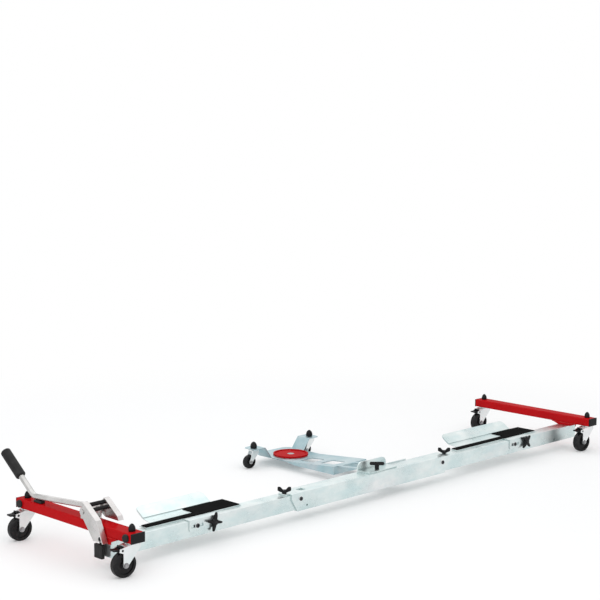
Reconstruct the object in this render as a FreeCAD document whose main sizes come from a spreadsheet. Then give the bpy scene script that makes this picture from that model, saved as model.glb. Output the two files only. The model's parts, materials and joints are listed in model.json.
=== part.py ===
import FreeCAD, Part
import os
import re

import Sketcher
from FreeCAD import Vector

# A wheeled mover for a parked two-wheeler: a telescoping steel spine on the right, a cross beam
# on two swivel casters at each end, a tray for each tyre on top of the spine, a low platform with
# a turntable for the side stand on the left, and a parking lever across the rear beam.
# X runs forward along the spine, Y to the left and Z up, and the floor is at Z = 0.

# Driving dimensions in millimetres and degrees
SIZES = {
    # Cross beams
    "beam_length": 554,
    "beam_width": 50,
    "beam_height": 30,
    "beam_wall": 3,
    "beam_corner": 5,
    "cap_thickness": 5,
    "cap_plug": 14,
    "bumper_diameter": 24,
    "bumper_thickness": 8,
    "bumper_inset": 20,
    "fit_clearance": 0.1,
    "running_clearance": 0.05,
    # Spine tubes and the sleeve that they slide in
    "spine_inset": 118,
    "spine_drop": 10,
    "tube_width": 50,
    "tube_height": 50,
    "tube_wall": 3,
    "tube_insertion": 150,
    "sleeve_length": 798,
    "sleeve_wall": 4.7,
    "slide_clearance": 0.3,
    "tongue_length": 15,
    "tongue_width": 34,
    "tongue_screw_inset": 5,
    "relief_run": 29,
    "relief_height": 41,
    "access_inset": 69,
    "access_length": 28,
    "access_width": 24,
    "wall_hole_diameter": 7,
    "wall_hole_height": 14,
    # Red saddles between the beams and the spine
    "gusset_top": 108,
    "gusset_bottom": 52,
    "lip_thickness": 4,
    "lip_drop": 10,
    # Screws and knobs
    "bolt_diameter": 8,
    "bolt_head": 14,
    "bolt_head_height": 5,
    "sleeve_bolt_inset": 40,
    "sleeve_bolt_height": 40,
    "screw_diameter": 8,
    "wing_span": 44,
    "wing_height": 21,
    "wing_tip": 9,
    "wing_thickness": 5,
    "knob_hub": 15,
    "knob_hub_height": 11,
    "star_reach": 30,
    "star_arm": 10,
    "star_height": 13,
    "star_arms": 4,
    "star_tip": 6,
    "rear_star_turn": 12,
    "front_star_turn": 45,
    "bar_handle_length": 50,
    "bar_handle_diameter": 12,
    "bar_handle_lift": 19,
    "handle_turn": -45,
    # Trays for the tyres
    "rear_tray_start": 130,
    "rear_tray_length": 380,
    "rear_tray_gap": 194,
    "rear_knob_inset": 238,
    "front_tray_gap": 83,
    "front_tray_length": 482,
    "front_knob_inset": 374,
    "front_beam_gap": 208,
    "tray_sheet": 3,
    "tray_offset": 2,
    "tray_width": 90,
    "tray_strip": 32,
    "tray_step": 43,
    "tray_slant": 17,
    "lip_run": 40,
    "lip_rise": 28,
    "lip_setback": 50,
    "lip_corner": 18,
    "mat_thickness": 2.5,
    "mat_margin": 4,
    "mat_length": 170,
    "clip_length": 122,
    "clip_lead": 26,
    "clip_drop": 33,
    "clip_corner": 8,
    "guide_drop": 22,
    "knob_drop": 17,
    "guide_bolt_offset": 65,
    "tray_travel": 20,
    # Casters under the beams
    "caster_headroom": 24,
    "stem_inset": 25,
    "stem_diameter": 12,
    "stem_reach": 8,
    "dome_diameter": 21,
    "dome_height": 23,
    "raceway_diameter": 40,
    "raceway_thickness": 4,
    "wheel_diameter": 75,
    "wheel_width": 24,
    "trail": 29,
    "caster_turn": 172,
    "fork_sheet": 3,
    "fork_gap": 1.5,
    "fork_plate": 38,
    "fork_tip": 17,
    "axle_diameter": 8,
    "hub_diameter": 26,
    "hub_recess": 4,
    "tread_depth": 10.5,
    "tread_corner": 5,
    # Casters under the platform
    "small_caster_headroom": 21,
    "small_stem_diameter": 10,
    "small_dome_diameter": 25,
    "small_dome_height": 24,
    "small_raceway_diameter": 30,
    "small_wheel_diameter": 50,
    "small_wheel_width": 18,
    "small_trail": 20,
    "small_fork_plate": 29,
    "small_fork_tip": 14,
    "small_axle_diameter": 6,
    "small_hub_diameter": 18,
    "small_tread_depth": 7,
    # Brake pedals
    "pedal_lead": 11,
    "pedal_drop": 17,
    "pedal_pin": 7,
    "pedal_ear": 9,
    "pedal_play": 1,
    "pedal_reach": 26,
    "pedal_overhang": 66.88,
    "pedal_rise": 3.5,
    "pedal_sheet": 4,
    "tab_back": 15,
    "tab_reach": 2.5,
    "tab_rise": 12,
    "shoe_reach": 8,
    "shoe_drop": 7.5,
    # Parking lever
    "pivot_inset": 213,
    "pivot_rise": 24,
    "pivot_bar": 14,
    "bracket_inset": 2,
    "bracket_length": 40,
    "bracket_sheet": 4,
    "ear_radius": 13,
    "plate_clearance": 4,
    "plate_sheet": 3,
    "plate_top_back": 25,
    "plate_top": 36,
    "plate_neck": 8,
    "plate_neck_rise": 22,
    "plate_front": 51,
    "plate_front_drop": 76,
    "plate_back": 115.5,
    "plate_back_drop": 69,
    "plate_elbow": 84.5,
    "plate_elbow_drop": 7,
    "far_plate_front": 30,
    "far_plate_drop": 20,
    "plate_fold": 4,
    "plate_flange": 16,
    "bar_end": 3,
    "spacer_diameter": 10,
    "spacer_back": 26,
    "spacer_rise": 25,
    "spacer_step": 13,
    "lever_diameter": 18,
    "lever_play": 1,
    "lever_lift": 14.4,
    "lever_bend_inset": 70.5,
    "lever_bend": 42,
    "lever_bend_radius": 36,
    "handle_length": 183,
    "grip_diameter": 32,
    "grip_length": 106,
    "grip_end": 5,
    "pad_inset": 116,
    "pad_length": 38,
    "pad_width": 16,
    "pad_height": 10.5,
    "rest_clearance": 0.3,
    "foot_width": 37,
    "foot_height": 41,
    "foot_thickness": 9,
    "foot_tongue_width": 20,
    "foot_tongue_height": 24,
    "foot_tongue_sheet": 2.5,
    "foot_bolt_back": 85,
    "foot_bolt_drop": 63,
    "foot_bolt_rise": 16.5,
    "foot_shift": 7.5,
    # Side stand platform
    "saddle_inset": 449,
    "saddle_top_length": 144,
    "saddle_margin": 28,
    "saddle_sheet": 4,
    "saddle_reach": 54,
    "saddle_hook": 36,
    "saddle_upright": 27,
    "saddle_corner": 20,
    "clamp_screw_shift": 8,
    "clamp_screw_diameter": 10,
    "platform_shift": 126,
    "platform_sheet": 3,
    "pan_width": 174,
    "pan_floor": 33,
    "pan_left": 775,
    "pan_length": 175,
    "pan_corner": 32,
    "arm_shift": 22,
    "arm_width": 92,
    "arm_drop": 25.3,
    "arm_flange": 28,
    "skirt_length": 235,
    "skirt_bottom": 24,
    "skirt_slant": 40,
    "slot_inset": 67,
    "slot_pitch": 105,
    "slot_length": 70,
    "slot_margin": 14,
    "slot_corner": 8,
    "wing_run": 31,
    "wing_flat": 52,
    "wing_width": 60,
    "wing_stem": 29,
    "platform_caster_inset": 60,
    "platform_bolt_pitch": 50,
    "disc_inset": 107,
    "disc_diameter": 131,
    "disc_base": 3.5,
    "disc_rim": 2.5,
    "disc_rim_width": 7,
    "disc_pin": 16,
    "disc_pin_head": 26,
    "disc_gap": 0.3,
}

# Places worked out from the driving dimensions
PLACES = {
    # Middle of the footprint, from the rear beam's axis and the beams' right ends
    "origin_x": "(beam_spacing + beam_width / 2 - pedal_overhang) / 2",
    "origin_y": "(pan_left - cap_thickness) / 2",
    # Row of pieces along the spine, from the rear beam's axis
    "rear_knob": "rear_tray_start + rear_knob_inset",
    "sleeve_start": "rear_tray_start + rear_tray_length + rear_tray_gap",
    "sleeve_end": "sleeve_start + sleeve_length",
    "front_tray_start": "sleeve_end + front_tray_gap",
    "front_knob": "front_tray_start + front_knob_inset",
    "beam_spacing": "front_tray_start + front_tray_length + front_beam_gap",
    "saddle_x": "sleeve_start + saddle_inset",
    "clamp_screw_x": "saddle_x - clamp_screw_shift",
    "platform_x": "saddle_x + platform_shift",
    # Levels and faces
    "caster_height": "wheel_diameter + caster_headroom",
    "small_caster_height": "small_wheel_diameter + small_caster_headroom",
    "rim_diameter": "wheel_diameter - 2 * tread_depth",
    "small_rim_diameter": "small_wheel_diameter - 2 * small_tread_depth",
    "pedal_pivot": "trail + pedal_lead",
    "pedal_height": "caster_height - pedal_drop",
    "pedal_width": "wheel_width - 2 * pedal_play",
    "lip_knee": "pedal_height + pedal_rise + slide_clearance",
    "beam_top": "caster_height + beam_height",
    "tube_top": "caster_height - spine_drop",
    "tube_bottom": "tube_top - tube_height",
    "tube_near": "spine_inset - tube_width / 2",
    "tube_left": "spine_inset + tube_width / 2",
    "sleeve_top": "tube_top + slide_clearance + sleeve_wall",
    "sleeve_bottom": "tube_bottom - slide_clearance - sleeve_wall",
    "sleeve_near": "tube_near - slide_clearance - sleeve_wall",
    "sleeve_left": "tube_left + slide_clearance + sleeve_wall",
    "sleeve_bolt_z": "sleeve_bottom + sleeve_bolt_height",
    "tube_overhang": "beam_width / 2 - lip_thickness",
    "bolt_hole": "bolt_diameter / 2 + fit_clearance",
    "screw_hole": "screw_diameter / 2 + running_clearance",
    "tray_bottom": "tube_top + slide_clearance",
    "tray_top": "tray_bottom + tray_sheet",
    "tray_right": "spine_inset + tray_offset",
    "tray_fold": "tray_right + tray_width",
    "clip_near": "tube_near - slide_clearance - tray_sheet",
    "knob_z": "tube_top - knob_drop",
    "guide_slot_length": "2 * tray_travel + bolt_diameter + 4 * slide_clearance",
    "guide_slot_height": "bolt_diameter + 4 * slide_clearance",
    "pivot_z": "beam_top + pivot_rise",
    "bracket_width": "beam_width - 2 * bracket_inset",
    "plate_gap": "beam_width + 2 * plate_clearance",
    "lever_radius": "lever_diameter / 2",
    "lever_offset": "bracket_width / 2 - bracket_sheet - lever_radius - lever_play",
    "lever_run": "beam_length - pivot_inset - lever_bend_inset",
    "pad_start": "beam_length - pad_inset",
    "lever_fall": "pivot_rise + lever_lift - lever_radius - pad_height",
    "lever_tilt": "atan(lever_fall / (pad_start - pivot_inset)) / 1deg",
    "lever_bend_start": "lever_run - lever_bend_radius * tan(lever_bend * 1deg / 2)",
    "handle_end_y": "lever_run + handle_length * cos(lever_bend * 1deg)",
    "handle_end_z": "lever_lift + handle_length * sin(lever_bend * 1deg)",
    "grip_y": "pivot_inset + handle_end_y * cos(lever_tilt * 1deg) + handle_end_z * sin(lever_tilt * 1deg)",
    "grip_z": "pivot_z - handle_end_y * sin(lever_tilt * 1deg) + handle_end_z * cos(lever_tilt * 1deg)",
    "plate_x": "plate_gap / 2 + plate_sheet / 2",
    "bar_length": "plate_gap + 2 * plate_sheet + 2 * bar_end",
    "far_plate_back": "plate_elbow + (far_plate_drop - plate_elbow_drop) * (plate_back - plate_elbow)"
                      " / (plate_back_drop - plate_elbow_drop)",
    "foot_y": "pivot_inset - foot_bolt_back",
    "foot_z": "pivot_z - foot_bolt_drop",
    "saddle_bottom": "sleeve_top + slide_clearance",
    "saddle_top": "saddle_bottom + saddle_sheet",
    "saddle_left": "sleeve_left + slide_clearance + saddle_sheet",
    "saddle_rear": "saddle_x - saddle_top_length / 2",
    "saddle_front": "arm_x + arm_width / 2 + saddle_margin",
    "arm_x": "platform_x - arm_shift",
    "arm_top": "saddle_top - arm_drop",
    "slot_width": "arm_width - 2 * slot_margin",
    "platform_caster_x": "pan_width / 2 + wing_run + wing_stem",
    "arm_foot": "pan_left - pan_length",
    "arm_shoulder": "arm_foot - skirt_length",
    "skirt_end": "arm_foot - skirt_slant",
    "platform_caster_y": "pan_left - platform_caster_inset",
    "disc_y": "pan_left - disc_inset",
    "arm_flange_z": "arm_top - arm_flange / 2 - platform_sheet",
    "wing_top": "small_caster_height + platform_sheet",
    "disc_bottom": "pan_floor + disc_gap",
}

WORD = re.compile(r"[a-z][a-z_]*[a-z]")
NODES = []

doc = FreeCAD.newDocument("motorcycle_mover")
sheet = doc.addObject("Spreadsheet::Sheet", "sizes")
for row, (name, size) in enumerate(SIZES.items(), 1):
    sheet.set(f"A{row}", str(size))
    sheet.setAlias(f"A{row}", name)
doc.recompute()


def formula(text):
    """Write a rule in plain size names as an expression on the sheet's cells."""
    def cell(match):
        word = match.group()
        if word in PLACES:
            return f"({formula(PLACES[word])})"
        return f"sizes.{word}" if word in SIZES else word
    return WORD.sub(cell, text)


def value(text):
    return float(sheet.evalExpression(formula(text)))


def bind(thing, name, text):
    thing.setExpression(name, formula(text))


# Sketches and features


def new_body(label, x="0", y="0", z="0", turn=None, about=Vector(0, 0, 1), node=True):
    """Start a body whose own origin lies at a place given from the rear beam's right end."""
    body = doc.addObject("PartDesign::Body", label)
    body.Label = label
    body.AllowCompound = True
    if turn:
        body.Placement.Rotation = FreeCAD.Rotation(about, 1)
        bind(body, "Placement.Rotation.Angle", f"({turn}) * 1deg")
    bind(body, "Placement.Base.x", f"{x} - origin_x")
    bind(body, "Placement.Base.y", f"{y} - origin_y")
    bind(body, "Placement.Base.z", z)
    if node:
        NODES.append(body)
    return body


def group(label, members):
    """Bundle separate like solids under one name."""
    bundle = doc.addObject("Part::Compound", label)
    bundle.Label = label
    bundle.Links = members
    NODES.append(bundle)


def box(left, right, low, high):
    return [(left, low), (right, low), (right, high), (left, high)]


def draw_outline(sketch, points):
    """Draw a closed outline whose corners are each held by two distances."""
    corners = [Vector(value(across), value(up), 0) for across, up in points]
    first = sketch.GeometryCount
    count = len(corners)
    for index, corner in enumerate(corners):
        sketch.addGeometry(Part.LineSegment(corner, corners[(index + 1) % count]))
    for index in range(count):
        after = first + (index + 1) % count
        sketch.addConstraint(Sketcher.Constraint("Coincident", first + index, 2, after, 1))
    for index, (across, up) in enumerate(points):
        hold_point(sketch, first + index, 1, across, up)


def draw_circle(sketch, across, up, radius):
    centre = Vector(value(across), value(up), 0)
    index = sketch.addGeometry(Part.Circle(centre, Vector(0, 0, 1), value(radius)))
    hold_point(sketch, index, 3, across, up)
    hold_size(sketch, Sketcher.Constraint("Radius", index, value(radius)), radius)


def hold_point(sketch, index, end, across, up):
    for kind, text in (("DistanceX", across), ("DistanceY", up)):
        hold_size(sketch, Sketcher.Constraint(kind, -1, 1, index, end, value(text)), text)


def hold_size(sketch, constraint, text):
    place = sketch.addConstraint(constraint)
    sketch.setExpression(f"Constraints[{place}]", formula(text))


def new_sketch(body, plane, offset):
    """Attach a sketch to one of the body's own planes, moved along that plane's world axis."""
    sketch = body.newObject("Sketcher::SketchObject", f"{body.Name}_sketch")
    support = next(item for item in body.Origin.OriginFeatures if item.Role == f"{plane}_Plane")
    sketch.AttachmentSupport = [(support, "")]
    sketch.MapMode = "FlatFace"
    sign = "-" if plane == "XZ" else ""
    bind(sketch, "AttachmentOffset.Base.z", f"{sign}({offset})")
    return sketch


def new_profile(body, plane, shapes, offset):
    """Draw outlines, and circles given as three texts, in one sketch."""
    sketch = new_sketch(body, plane, offset)
    for shape in shapes:
        if isinstance(shape[0], str):
            draw_circle(sketch, *shape)
        else:
            draw_outline(sketch, shape)
    return sketch


def pad(body, plane, shapes, depth, offset="0"):
    """Add a prism that reaches half its depth to each side of the offset plane."""
    feature_sketch = new_profile(body, plane, shapes, offset)
    feature = body.newObject("PartDesign::Pad", f"{body.Name}_pad")
    feature.Profile = feature_sketch
    feature.SideType = "Symmetric"
    bind(feature, "Length", depth)
    doc.recompute()
    return feature


def pocket(body, plane, shapes, depth, offset="0"):
    """Cut a prism that reaches half its depth to each side of the offset plane."""
    before = body.Shape.Volume
    feature_sketch = new_profile(body, plane, shapes, offset)
    feature = body.newObject("PartDesign::Pocket", f"{body.Name}_pocket")
    feature.Profile = feature_sketch
    feature.SideType = "Symmetric"
    bind(feature, "Length", depth)
    doc.recompute()
    if body.Shape.Volume >= before:
        raise RuntimeError(f"{feature.Name} cuts nothing")
    return feature


def revolve(body, plane, points, offset="0"):
    """Turn an outline about the upright axis of its plane."""
    sketch = new_profile(body, plane, [points], offset)
    feature = body.newObject("PartDesign::Revolution", f"{body.Name}_turn")
    feature.Profile = sketch
    feature.ReferenceAxis = (sketch, ["V_Axis"])
    feature.Angle = 360
    doc.recompute()
    return feature


def round_edges(body, radius, chosen):
    """Round the edges of the body's last feature that the test picks."""
    base = body.Tip
    names = [f"Edge{number}" for number, edge in enumerate(base.Shape.Edges, 1) if chosen(edge)]
    feature = body.newObject("PartDesign::Fillet", f"{body.Name}_round")
    feature.Base = (base, names)
    bind(feature, "Radius", radius)
    doc.recompute()


def runs_along(edge, direction):
    """Tell whether an edge is straight and parallel to a direction."""
    if edge.Curve.TypeId != "Part::GeomLine":
        return False
    return abs(edge.Curve.Direction.dot(direction)) > 0.999


def is_circle(edge, radius):
    return edge.Curve.TypeId == "Part::GeomCircle" and abs(edge.Curve.Radius - radius) < 1e-4


def near(one, other):
    return abs(one - other) < 1e-4


def sized(kind, name):
    """Name of a size for one kind of caster, where that kind has its own."""
    own = f"{kind}{name}"
    return own if own in SIZES or own in PLACES else name


# Beams and what is fixed to them


def make_beam(end, x):
    body = new_body(f"{end}_beam", x, "0", "caster_height")
    outer = box("-beam_width / 2", "beam_width / 2", "0", "beam_height")
    inner = box("beam_wall - beam_width / 2", "beam_width / 2 - beam_wall",
                "beam_wall", "beam_height - beam_wall")
    pad(body, "XZ", [outer, inner], "beam_length", "beam_length / 2")
    half = value("beam_width / 2")
    round_edges(body, "beam_corner", lambda edge: runs_along(edge, Vector(0, 1, 0))
                and near(abs(edge.CenterOfMass.x), half))
    holes = [("0", y, "stem_diameter / 2 + fit_clearance") for y in STEMS]
    pocket(body, "XY", holes, "4 * beam_height")


def make_end_caps(end, x):
    """Plastic end caps: a face as large as the tube with a plug that fits its bore."""
    caps = []
    for side, face, inward in (("right", "0", "1"), ("left", "beam_length", "-1")):
        cap = new_body(f"{end}_{side}_cap", x, face, "caster_height", node=False)
        flange = box("-beam_width / 2", "beam_width / 2", "0", "beam_height")
        pad(cap, "XZ", [flange], "cap_thickness", f"-({inward}) * cap_thickness / 2")
        outward = -value(inward)
        round_edges(cap, "cap_thickness - 1", lambda edge: edge.CenterOfMass.y * outward
                    > value("cap_thickness") - 1e-4)
        gap = "beam_wall + 2 * fit_clearance"
        plug = box(f"{gap} - beam_width / 2", f"beam_width / 2 - ({gap})", gap, f"beam_height - ({gap})")
        pad(cap, "XZ", [plug], "cap_plug", f"({inward}) * cap_plug / 2")
        caps.append(cap)
    group(f"{end}_end_caps", caps)


def make_bumpers():
    """Round rubber buffers on the rear beam's outer face."""
    body = new_body("rear_bumpers", "-beam_width / 2", "0", "caster_height + beam_height / 2")
    spots = [(y, "0", "bumper_diameter / 2") for y in ("bumper_inset", "beam_length - bumper_inset")]
    pad(body, "YZ", spots, "bumper_thickness", "-bumper_thickness / 2")
    outer = -value("bumper_thickness")
    round_edges(body, "bumper_thickness / 2", lambda edge: is_circle(edge, value("bumper_diameter / 2"))
                and near(edge.CenterOfMass.x, outer))


def make_gusset(end, x, outward):
    """Flared saddle between the beam and the spine, with a lip that closes the spine's end."""
    body = new_body(f"{end}_gusset", x, "spine_inset", "0")
    flare = [("-gusset_top / 2", "caster_height"), ("gusset_top / 2", "caster_height"),
             ("gusset_bottom / 2", "tube_top"), ("-gusset_bottom / 2", "tube_top")]
    pad(body, "YZ", [flare], "beam_width")
    lip = [("-gusset_top / 2", "caster_height"), ("gusset_top / 2", "caster_height"),
           ("gusset_bottom / 2", "lip_knee"), ("gusset_bottom / 2", "tube_top - lip_drop"),
           ("-gusset_bottom / 2", "tube_top - lip_drop"), ("-gusset_bottom / 2", "lip_knee")]
    pad(body, "YZ", [lip], "lip_thickness", f"({outward}) * (beam_width / 2 - lip_thickness / 2)")


def make_stem_caps(label, kind, x_places, y_places, top):
    """Domed plastic caps over the ends of the caster stems."""
    body = new_body(label, "0", "0", top)
    spots = [(x, y) for x in x_places for y in y_places]
    radius = f"{sized(kind, 'dome_diameter')} / 2"
    tall = sized(kind, "dome_height")
    pad(body, "XY", [(x, y, radius) for x, y in spots], tall, f"{tall} / 2")
    round_edges(body, f"{radius} - 0.2", lambda edge: near(edge.CenterOfMass.z, value(tall))
                and is_circle(edge, value(radius)))
    bore = f"{sized(kind, 'stem_diameter')} / 2 + fit_clearance"
    pocket(body, "XY", [(x, y, bore) for x, y in spots], "2 * (stem_reach + fit_clearance)")


# Spine


def make_spine_tube(end, start, finish, knob):
    body = new_body(f"{end}_spine_tube")
    outer = box("tube_near", "tube_left", "tube_bottom", "tube_top")
    inner = box("tube_near + tube_wall", "tube_left - tube_wall",
                "tube_bottom + tube_wall", "tube_top - tube_wall")
    pad(body, "YZ", [outer, inner], f"{finish} - ({start})", f"({finish} + {start}) / 2")
    hole = (f"{knob} - guide_bolt_offset", "knob_z", "bolt_hole")
    pocket(body, "XZ", [hole], "2 * tube_wall", "tube_near + tube_wall / 2")


def make_sleeve():
    """Centre sleeve: each end is cut back at a slant below a tongue that carries a clamp screw."""
    body = new_body("centre_sleeve")
    outer = box("sleeve_near", "sleeve_left", "sleeve_bottom", "sleeve_top")
    inner = box("tube_near - slide_clearance", "tube_left + slide_clearance",
                "tube_bottom - slide_clearance", "tube_top + slide_clearance")
    pad(body, "YZ", [outer, inner], "sleeve_length + 2 * tongue_length", "sleeve_start + sleeve_length / 2")
    below = "sleeve_bottom - sleeve_wall"
    under_tongue = "tube_top + slide_clearance"
    for edge, outward in (("sleeve_start", "-1"), ("sleeve_end", "1")):
        past = f"{edge} + ({outward}) * 2 * tongue_length"
        relief = [(past, below), (past, under_tongue), (edge, under_tongue),
                  (edge, "sleeve_bottom + relief_height"), (f"{edge} - ({outward}) * relief_run", below)]
        pocket(body, "XZ", [relief], "4 * tube_width", "spine_inset")
        sides = [box(edge, past, "sleeve_near - sleeve_wall", "spine_inset - tongue_width / 2"),
                 box(edge, past, "spine_inset + tongue_width / 2", "sleeve_left + sleeve_wall")]
        pocket(body, "XY", sides, "4 * sleeve_wall", "sleeve_top")
    tongues = [(x, "spine_inset", "screw_hole") for x in TONGUES]
    access_x = "sleeve_start + access_inset"
    access = box(f"{access_x} - access_length / 2", f"{access_x} + access_length / 2",
                 "spine_inset - access_width / 2", "spine_inset + access_width / 2")
    pocket(body, "XY", tongues + [access], "4 * sleeve_wall", "sleeve_top")
    holes = [(x, "sleeve_bolt_z", "bolt_hole") for x in SLEEVE_BOLTS]
    holes.append((access_x, "sleeve_bottom + wall_hole_height", "wall_hole_diameter / 2"))
    pocket(body, "XZ", holes, "2 * sleeve_wall", "sleeve_near + sleeve_wall / 2")


def make_bolts(label, places, face, grip, plane="XZ", outward="-1"):
    """Round-headed bolts that enter a face along one axis."""
    body = new_body(label)
    heads = [(across, up, "bolt_head / 2") for across, up in places]
    pad(body, plane, heads, "bolt_head_height", f"{face} + ({outward}) * bolt_head_height / 2")
    round_edges(body, "bolt_head_height - 1", lambda edge: is_circle(edge, value("bolt_head / 2"))
                and near(edge.CenterOfMass.y, value(f"{face} + ({outward}) * bolt_head_height")))
    shanks = [(across, up, "bolt_diameter / 2") for across, up in places]
    pad(body, plane, shanks, grip, f"{face} - ({outward}) * ({grip}) / 2")


# Clamp screws and knobs


def make_wing_screw(end, x):
    body = new_body(f"{end}_wing_screw", x, "spine_inset", "sleeve_top", "handle_turn")
    pad(body, "XY", [("0", "0", "knob_hub / 2")], "knob_hub_height - slide_clearance",
        "(knob_hub_height + slide_clearance) / 2")
    wings = [("-wing_span / 2", "wing_tip"), ("-wing_span / 2", "wing_height"),
             ("wing_tip - wing_span / 2", "wing_height"), ("-knob_hub / 4", "knob_hub_height"),
             ("knob_hub / 4", "knob_hub_height"), ("wing_span / 2 - wing_tip", "wing_height"),
             ("wing_span / 2", "wing_height"), ("wing_span / 2", "wing_tip"),
             ("knob_hub / 4", "2 * slide_clearance"), ("-knob_hub / 4", "2 * slide_clearance")]
    pad(body, "XZ", [wings], "wing_thickness")
    half = value("wing_span / 2")
    round_edges(body, "wing_tip / 3", lambda edge: runs_along(edge, Vector(0, 1, 0))
                and abs(edge.CenterOfMass.x) > half - value("wing_tip") - 1e-4
                and edge.CenterOfMass.z > value("wing_tip") - 1e-4)
    pad(body, "XY", [("0", "0", "screw_diameter / 2")], "sleeve_wall + knob_hub_height",
        "(knob_hub_height - sleeve_wall) / 2")


def make_star_knob(end, x):
    """Star knob with tapered arms on a clamp screw that points at the spine."""
    body = new_body(f"{end}_star_knob", x, "clip_near", "knob_z", f"{end}_star_turn", Vector(0, 1, 0))
    reach = "star_height + slide_clearance"
    hub = ("0", "0", "knob_hub / 2 + star_arm / 4")
    pad(body, "XZ", [hub], "star_height", f"-({reach}) + star_height / 2")
    arm = [("-star_arm / 2", "0"), ("star_arm / 2", "0"), ("star_tip / 2", "star_reach - star_tip / 2"),
           ("-star_tip / 2", "star_reach - star_tip / 2")]
    bar = pad(body, "XZ", [arm], "star_height - tray_sheet", f"-({reach}) + (star_height - tray_sheet) / 2")
    tip = pad(body, "XZ", [("0", "star_reach - star_tip / 2", "star_tip / 2")],
              "star_height - tray_sheet", f"-({reach}) + (star_height - tray_sheet) / 2")
    ring = body.newObject("PartDesign::PolarPattern", f"{body.Name}_ring")
    ring.Originals = [bar, tip]
    axis = next(item for item in body.Origin.OriginFeatures if item.Role == "Y_Axis")
    ring.Axis = (axis, [""])
    ring.Angle = 360
    bind(ring, "Occurrences", "star_arms")
    body.Tip = ring
    doc.recompute()
    pad(body, "XZ", [("0", "0", "screw_diameter / 2")], "tray_sheet + star_height",
        "(tray_sheet - star_height) / 2")


def make_clamp_screw():
    """Clamp screw of the platform with a cross handle."""
    body = new_body("platform_clamp_screw", "clamp_screw_x", "spine_inset", "saddle_top", "handle_turn")
    pad(body, "XY", [("0", "0", "knob_hub / 2")], "bar_handle_lift - slide_clearance",
        "(bar_handle_lift + slide_clearance) / 2")
    pad(body, "YZ", [("0", "bar_handle_lift", "bar_handle_diameter / 2")], "bar_handle_length")
    handle = value("bar_handle_diameter / 2")
    round_edges(body, "bar_handle_diameter / 2 - 1", lambda edge: is_circle(edge, handle)
                and near(abs(edge.CenterOfMass.x), value("bar_handle_length / 2")))
    pad(body, "XY", [("0", "0", "clamp_screw_diameter / 2")], "saddle_sheet + bar_handle_lift",
        "(bar_handle_lift - saddle_sheet) / 2")


# Tyre trays


def make_tray(end, start, length, knob):
    """Bent sheet on top of the spine: floor, raised left lip and a clip that hugs the tube."""
    body = new_body(f"{end}_tray", start)
    lip_start = "tray_step + tray_slant"
    floor = [("0", "tray_right"), (length, "tray_right"), (length, "tray_fold"), (lip_start, "tray_fold"),
             ("tray_step", "tray_right + tray_strip"), ("0", "tray_right + tray_strip")]
    pad(body, "XY", [floor], "tray_sheet", "tray_bottom + tray_sheet / 2")
    rise = "lip_rise * tray_sheet / lip_run"
    lip = [("tray_fold - tray_sheet", "tray_bottom"), ("tray_fold", "tray_bottom"),
           ("tray_fold + lip_run", "tray_bottom + lip_rise"),
           ("tray_fold + lip_run - tray_sheet", "tray_top + lip_rise"),
           ("tray_fold - tray_sheet", f"tray_top + {rise}")]
    pad(body, "YZ", [lip], f"{length} - ({lip_start}) - lip_setback",
        f"({length} + {lip_start} - lip_setback) / 2")
    edge_y = value("tray_fold + lip_run - tray_sheet")
    round_edges(body, "lip_corner", lambda edge: edge.CenterOfMass.y > edge_y
                and edge.Length < value("2 * tray_sheet"))
    out = "tube_near - slide_clearance"
    left = "tube_left + slide_clearance"
    clip = [("clip_near", "tube_top - clip_drop"), (out, "tube_top - clip_drop"), (out, "tray_bottom"),
            (left, "tray_bottom"), (left, "tube_top - guide_drop"),
            (f"{left} + tray_sheet", "tube_top - guide_drop"), (f"{left} + tray_sheet", "tray_top"),
            ("clip_near", "tray_top")]
    middle = f"{knob} - {start} + clip_lead - clip_length / 2"
    pad(body, "YZ", [clip], "clip_length", middle)
    face = value("clip_near + tray_sheet / 2")
    foot = value("tube_top - clip_drop")
    round_edges(body, "clip_corner", lambda edge: runs_along(edge, Vector(0, 1, 0))
                and near(edge.CenterOfMass.y, face) and near(edge.CenterOfMass.z, foot))
    slot_middle = f"{knob} - {start} - guide_bolt_offset"
    slot = box(f"{slot_middle} - guide_slot_length / 2", f"{slot_middle} + guide_slot_length / 2",
               "knob_z - guide_slot_height / 2", "knob_z + guide_slot_height / 2")
    screw = (f"{knob} - {start}", "knob_z", "screw_hole")
    pocket(body, "XZ", [slot, screw], "2 * tray_sheet", "clip_near + tray_sheet / 2")


def make_mat(end, start, length):
    """Rubber grip mat along the right edge and across the front of a tray."""
    body = new_body(f"{end}_tray_mat", start)
    right = "tray_right + mat_margin / 2"
    shape = [("mat_margin", right), (f"{length} - mat_margin", right),
             (f"{length} - mat_margin", "tray_fold - 2 * mat_margin"),
             (f"{length} - mat_length", "tray_fold - 2 * mat_margin"),
             (f"{length} - mat_length", "tray_right + tray_strip - mat_margin"),
             ("mat_margin", "tray_right + tray_strip - mat_margin")]
    pad(body, "XY", [shape], "mat_thickness", "tray_top + mat_thickness / 2")


def make_guide_bolt(end, knob):
    face = "clip_near - slide_clearance"
    make_bolts(f"{end}_guide_bolt", [(f"{knob} - guide_bolt_offset", "knob_z")], face,
               "tube_near + tube_wall - clip_near + slide_clearance")


# Casters


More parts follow.
